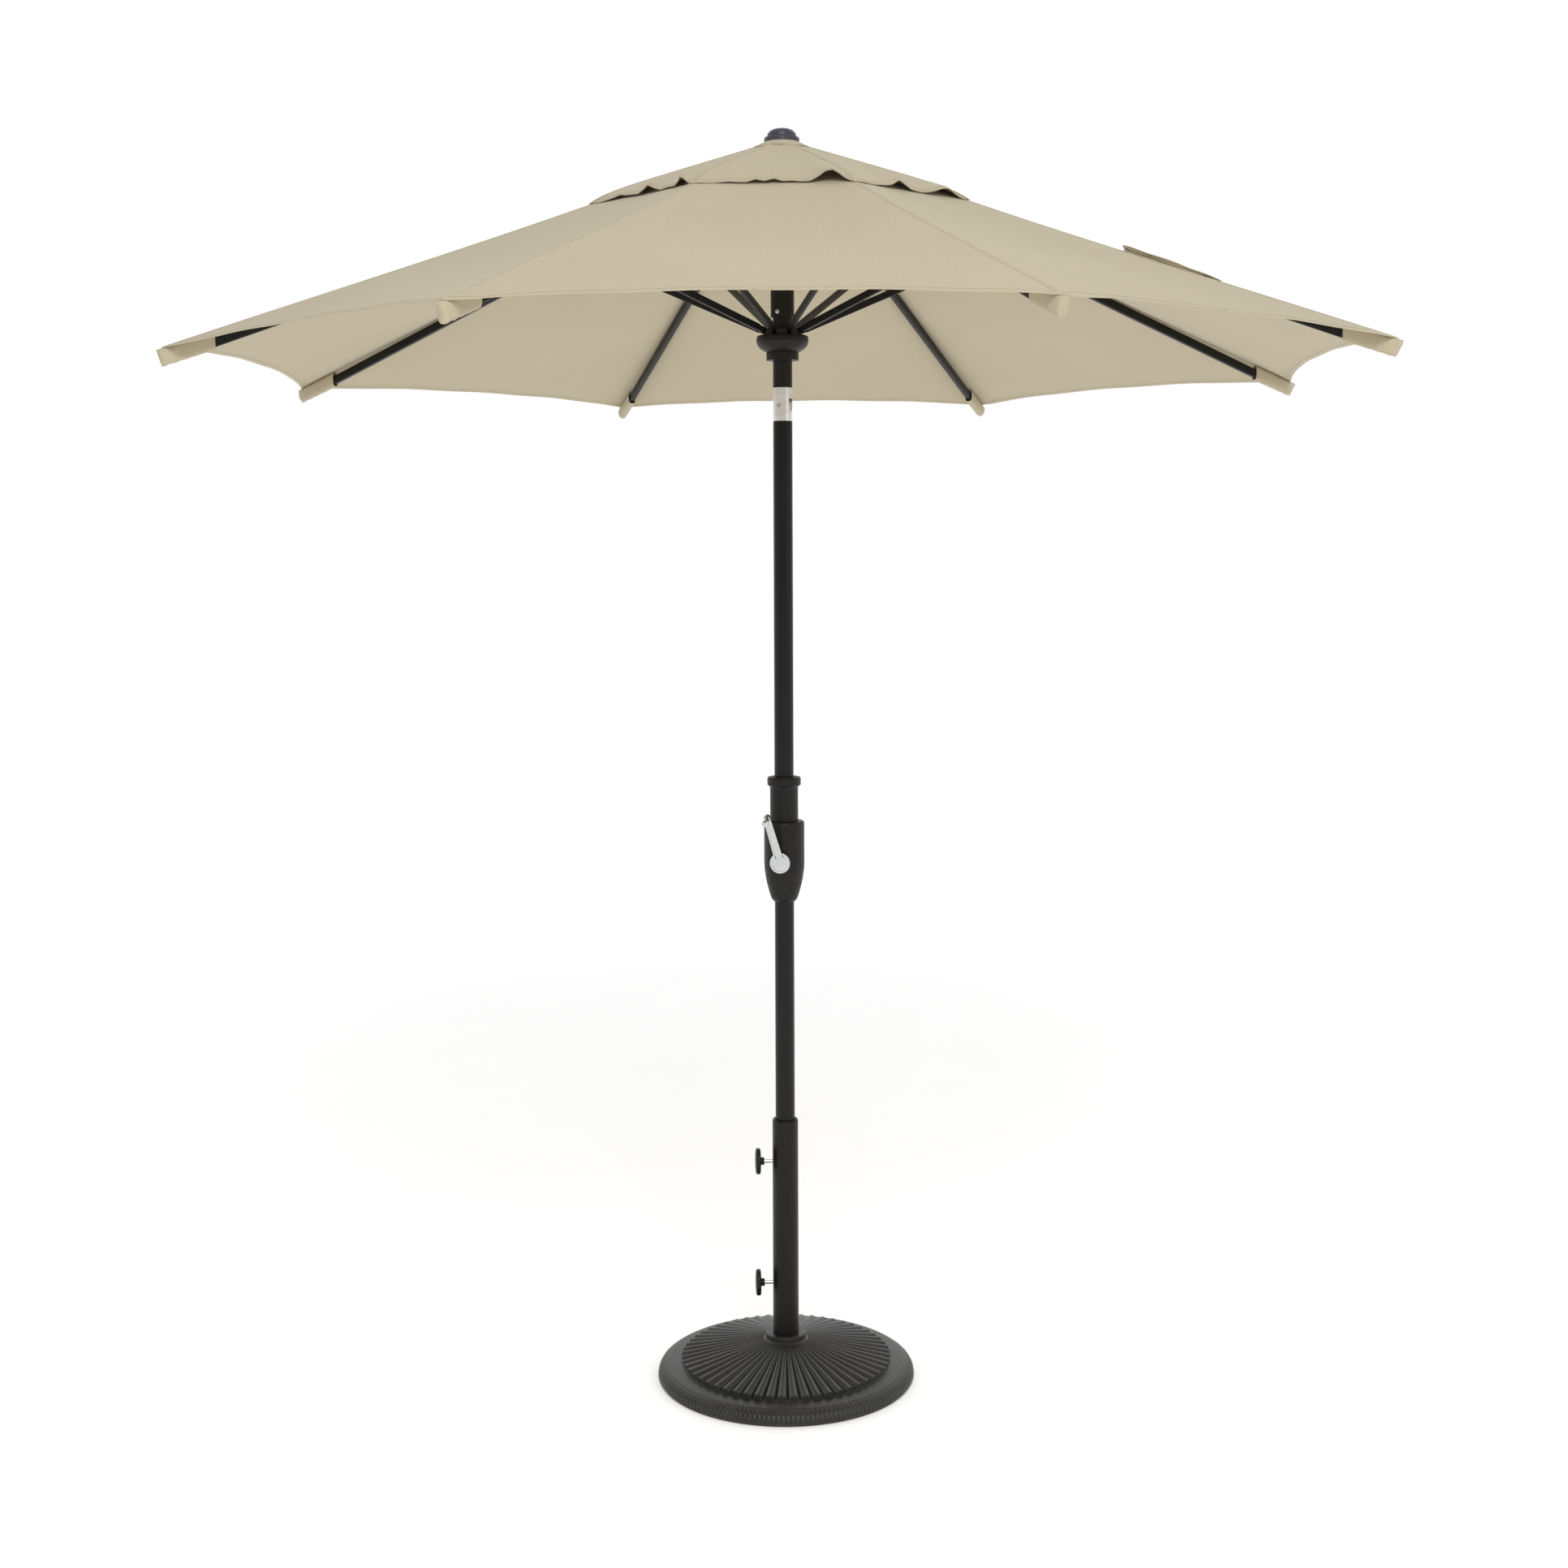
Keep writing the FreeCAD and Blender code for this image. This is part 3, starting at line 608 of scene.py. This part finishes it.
# ---- pieces on a ridge, made in their rib's own upright plane -------------
def ridge_height(azimuth, x, y):
    """Top of the main cloth at a place beside the ridge."""
    r = x + SIDE_FALL * np.abs(y)
    share = np.clip((r - HOLE_R) / (REACH - HOLE_R), 0, 1)
    u = np.abs(y) / (r * math.sin(SECTOR))
    return RIDGE_Z - SLOPE * r + lift(azimuth, r) + belly(share, 1 - 2 * u) / UPRIGHT


def vent_height(_, x, y):
    """The same on the vent, where the azimuth makes no difference."""
    r = x + SIDE_FALL * np.abs(y)
    share = np.clip((r - VENT_R0) / (VENT_R1 - VENT_R0), 0, 1)
    u = np.abs(y) / (r * math.sin(SECTOR))
    to_hem = (1 - share) * (VENT_R1 - VENT_R0) * math.hypot(1, VENT_SLOPE)
    return VENT_TOP - VENT_SLOPE * r + vent_drop(to_hem, share, 1 - 2 * u) / VENT_UPRIGHT


def seam_tape(name, azimuth, height, x0, x1, seed):
    """Sewn-down tape over a ridge and its two rows of stitches."""
    r = np.random.default_rng(seed)
    x = np.linspace(x0, x1, max(12, int((x1 - x0) / 0.012)))
    wander = 0.0004 * np.sin(x * r.uniform(20, 30) + r.uniform(0, 6))
    # places across the tape from edge to edge, and how far its upper face stands off the cloth there
    share = np.array([-1, -0.93, -0.8, -0.45, -0.12, 0, 0.12, 0.45, 0.8, 0.93, 1])
    rise = np.array([0.0002, 0.0006, 0.0005, 0.0006, 0.0007, 0.0007, 0.0007, 0.0006, 0.0005, 0.0006, 0.0002])
    y = np.outer(np.ones_like(x), share) * TAPE_HALF + wander[:, None]
    xx = np.broadcast_to(x[:, None], y.shape)
    z = height(azimuth, xx, y)
    pucker = 0.00025 * np.sin(2 * np.pi * xx / 0.0092) * (np.abs(share) > 0.7)
    top = np.stack([xx, y, z + rise + pucker], -1)
    under = np.stack([xx, y, z - 0.0004], -1)[:, ::-1]
    rings = np.concatenate([top, under], 1)
    rings = spin(rings.reshape(-1, 3), azimuth).reshape(rings.shape)
    tape = loft(name, rings[:, ::-1], "cloth")
    lines = []
    for side in (-1, 1):
        yy = side * 0.8 * TAPE_HALF + wander
        line = np.stack([x, yy, height(azimuth, x, yy) + 0.0006], -1)
        up = np.array([SLOPE, side * SLOPE * SIDE_FALL, 1.0])
        up /= np.linalg.norm(up)
        lines.append((spin(line, azimuth), spin(np.broadcast_to(up, line.shape), azimuth)))
    return tape, sew(name + "_stitches", lines)


def rib_pocket(name, azimuth, seed):
    """Two-walled sock sewn under a corner of the cloth, open towards the pole, that holds the rib's end."""
    r = np.random.default_rng(seed)
    turn = np.linspace(0, 2 * math.pi, 40, endpoint=False)
    cos_t, sin_t = np.cos(turn), np.sin(turn)
    mouth, foot, head = 1.088, 1.1765, 1.1885    # its opening, and its end below and above
    half_width, depth, cloth_t, steps = 0.0090, 0.0142, 0.0010, 26

    def section(s, wall):
        """Outline of the outer or inner face, s from 0 at the mouth to 1 at the end."""
        wide = (half_width - wall) * (1 - 0.85 * smooth((s - 0.968) / 0.032))
        y = wide * np.sign(cos_t) * np.abs(cos_t) ** 0.6
        frac = 0.5 + 0.5 * np.sign(sin_t) * np.abs(sin_t) ** 0.6
        x = mouth + s * (foot - mouth + (head - foot) * frac)
        x = x + 0.0012 * np.sin(5 * frac + seed) * smooth((s - 0.5) * 2) - 0.002 * (1 - frac) * (1 - s)
        centre = RIB_AXIS_Z - SLOPE * x
        low = centre - depth + 0.0030 * s + 0.0007 * np.sin(30 * s + seed) * s + wall
        high = RIDGE_Z - SLOPE * x + lift(azimuth, x) - 0.0016 - wall
        z = low + (high - low) * frac - SLOPE * SIDE_FALL * np.abs(y) * frac
        fold = np.sin(26 * s + 7 * frac + phase) + 0.6 * np.sin(51 * s - 11 * frac + 2 * phase)
        y = y * (1 + 0.05 * fold * np.sin(np.pi * frac))
        return np.stack([x, y, z], -1)

    phase = r.uniform(0, 6.28)
    outer = [section(s, 0.0) for s in np.linspace(1, 0, steps)]
    inner = [section(s, cloth_t) for s in np.linspace(0, 0.985, steps)]
    rings = np.array(outer + inner)
    rings = spin(rings.reshape(-1, 3), azimuth).reshape(rings.shape)
    return loft(name, rings, "cloth", sharp_ends=False)


def closing_strap(azimuth):
    """The tie band, folded back on itself beside the ridge, and its press stud."""
    # (distance from the axis, height over the cloth) from its sewn end: three passes, each on the last
    path = np.array([(0.868, 0.0012), (0.80, 0.0012), (0.72, 0.0013), (0.696, 0.0017), (0.689, 0.0032),
                     (0.695, 0.0048), (0.74, 0.0050), (0.80, 0.0047), (0.833, 0.0045), (0.841, 0.0055),
                     (0.834, 0.0066), (0.78, 0.0076), (0.72, 0.0087), (0.697, 0.0093), (0.688, 0.0109),
                     (0.695, 0.0126), (0.73, 0.0122), (0.79, 0.0098), (0.84, 0.0068), (0.870, 0.0030)])
    steps = 150
    fine = np.linspace(0, len(path) - 1, steps)
    smoothed = np.stack([np.interp(fine, range(len(path)), path[:, k]) for k in range(2)], -1)
    for _ in range(5):
        smoothed[1:-1] = (smoothed[:-2] + 2 * smoothed[1:-1] + smoothed[2:]) / 4
    x, h = smoothed.T
    way = np.gradient(smoothed, axis=0)
    way /= np.linalg.norm(way, axis=1)[:, None]
    share = np.array([-1, -0.97, -0.85, 0, 0.85, 0.97, 1])
    half, thick = 0.0125, 0.0010
    edge = np.array([0.4, 0.9, 1.25, 1.0, 1.25, 0.9, 0.4]) * thick
    rings = []
    for k in range(len(x)):
        y = STRAP_Y + 0.0015 * math.sin(5 * k / steps) + share * half
        base = ridge_height(azimuth, x[k], y)
        wave = 0.0007 * np.sin(9 * share + 14 * x[k] / 0.18)
        upper = np.stack([x[k] - way[k, 1] * edge, y, base + h[k] + wave + way[k, 0] * edge], -1)
        lower = np.stack([x[k] + way[k, 1] * edge, y, base + h[k] + wave - way[k, 0] * edge], -1)
        rings.append(np.concatenate([upper, lower[::-1]]))
    rings = np.array(rings)
    rings = spin(rings.reshape(-1, 3), azimuth).reshape(rings.shape)
    strap = loft("closing_strap", rings[:, ::-1], "cloth")
    stud = turned_piece("strap_stud", [(0.0, 0.0022), (0.002, 0.0021), (0.0034, 0.0015), (0.0042, 0.0016),
                                       (0.0052, 0.0010), (0.0054, 0.0002), (0.0054, -0.0012),
                                       (0.0, -0.0012)], 24, "steel")
    stud_z = ridge_height(azimuth, STRAP_X, STRAP_Y) + 0.0136
    stud.location = spin(np.array([[STRAP_X, STRAP_Y, stud_z]]), azimuth)[0]
    stud.rotation_euler = (0, -0.1, azimuth)
    return strap, stud


def turned_piece(name, profile, sides, material):
    """Solid of revolution about its own Z from (radius, height) points that start and end on the axis."""
    angle = np.linspace(0, 2 * math.pi, sides, endpoint=False)
    verts = [(0.0, 0.0, profile[0][1])]
    for rad, z in profile[1:-1]:
        verts += [(rad * math.cos(a), rad * math.sin(a), z) for a in angle]
    verts.append((0.0, 0.0, profile[-1][1]))
    faces = [(0, 1 + j, 1 + (j + 1) % sides) for j in range(sides)]
    rings = len(profile) - 2
    for i in range(rings - 1):
        for j in range(sides):
            a, b = 1 + i * sides + j, 1 + i * sides + (j + 1) % sides
            faces.append((a, a + sides, b + sides, b))
    last, end = 1 + (rings - 1) * sides, len(verts) - 1
    faces += [(last + j, end, last + (j + 1) % sides) for j in range(sides)]
    obj = link_mesh(name, verts, faces)
    obj.data.materials.append(LOOKS[material])
    return obj


def crown():
    """Round reinforcing cloth under the finial, draped over the eight ridges of the vent."""
    angle = np.linspace(0, 2 * math.pi, 96, endpoint=False)
    off = (angle - FIRST + HALF) % SECTOR - HALF
    radii = np.array([0.0062, 0.016, 0.027, CLAMP_R, 0.038, 0.042, 0.046, 0.050, 0.053, 0.0555, 0.0578,
                      0.0587, CROWN_R])
    grid = np.zeros((len(radii), len(angle), 3))
    for k, r in enumerate(radii):
        plane = VENT_TOP - VENT_SLOPE * r * (np.cos(off) + SIDE_FALL * np.abs(np.sin(off))) + 0.0014
        t = smooth((r - CLAMP_R) / (CROWN_R - CLAMP_R))
        straight = CLAMP_Z - (r - CLAMP_R) * 0.40
        z = np.where(r <= CLAMP_R, CLAMP_Z, (1 - t) * straight + t * plane)
        z = z + 0.0004 * np.sin(7 * angle + 9 * r) * t
        grid[k] = np.stack([r * np.cos(angle), r * np.sin(angle), z], -1)
    low = grid - np.array([0, 0, CLOTH_T])
    obj = slab("crown_cloth", grid, low, grid[..., :2], closed=True)
    seam_ring = grid[-4]
    edge = np.concatenate([seam_ring, seam_ring[:1]])
    up = np.broadcast_to(np.array([0.0, 0.0, 1.0]), edge.shape)
    return obj, sew("crown_seam", [(edge + up * SEAM_RISE, up)]), grid


panels, press = [], {}
for i in range(RIBS):
    panels += make_panels(i, "canopy")
    panels += make_panels(i, "vent")

on_ridge = {rib: [] for rib in range(1, RIBS + 1)}
on_vent = {rib: [] for rib in range(1, RIBS + 1)}
for rib in range(1, RIBS + 1):
    azimuth = FIRST + SECTOR * (rib - 1)
    on_ridge[rib] += seam_tape("ridge_tape_%d" % rib, azimuth, ridge_height, HOLE_R + 0.004,
                               REACH - 0.004, rib)
    on_vent[rib] += seam_tape("vent_tape_%d" % rib, azimuth, vent_height, VENT_R0 + 0.009,
                              VENT_R1 - 0.002, 20 + rib)
    on_ridge[rib].append(rib_pocket("rib_pocket_%d" % rib, azimuth, 40 + rib))
strap, strap_stud = closing_strap(FIRST + SECTOR * (RIBS - 1))
for rib in range(1, RIBS + 1):
    for piece in on_ridge[rib] + on_vent[rib]:
        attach(piece, "rib_%d" % rib)
for piece, finish in ((strap, "cloth"), (strap_stud, "steel")):
    bpy.context.view_layer.update()
    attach(piece, "gore_8a")
    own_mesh(piece)
on_ridge[8] += [strap, strap_stud]

crown_obj, crown_seam, crown_grid = crown()
for piece in (crown_obj, crown_seam):
    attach(piece, "head")
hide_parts("crown_cap")

# ---- small fittings -----------------------------------------------------
dome = [(0.0, 0.0016), (0.0016, 0.0015), (0.003, 0.0010), (0.0038, 0.0003), (0.0044, 0.0002),
        (0.0046, -0.0006), (0.0, -0.0006)]
for k, azimuth in enumerate((math.radians(-112.5), math.radians(67.5))):
    rivet = turned_piece("sleeve_rivet_%d" % (k + 1), dome, 28, "steel")
    rivet.location = (RIVET_R * math.cos(azimuth), RIVET_R * math.sin(azimuth), RIVET_Z)
    rivet.rotation_euler = (0, math.pi / 2, azimuth)
    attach(rivet, "head")

# ---- stage --------------------------------------------------------------
add_camera()
set_world(1.0)
add_floor()
add_light("key", (0.6, -5.0, 5.0), (0, 0, 1.6), 175, 2.5, 2.5)
add_light("fill", (4.5, -2.5, 3.0), (0, 0, 1.5), 22, 2.0, 3.0)
bpy.context.scene.view_settings.view_transform = "Standard"
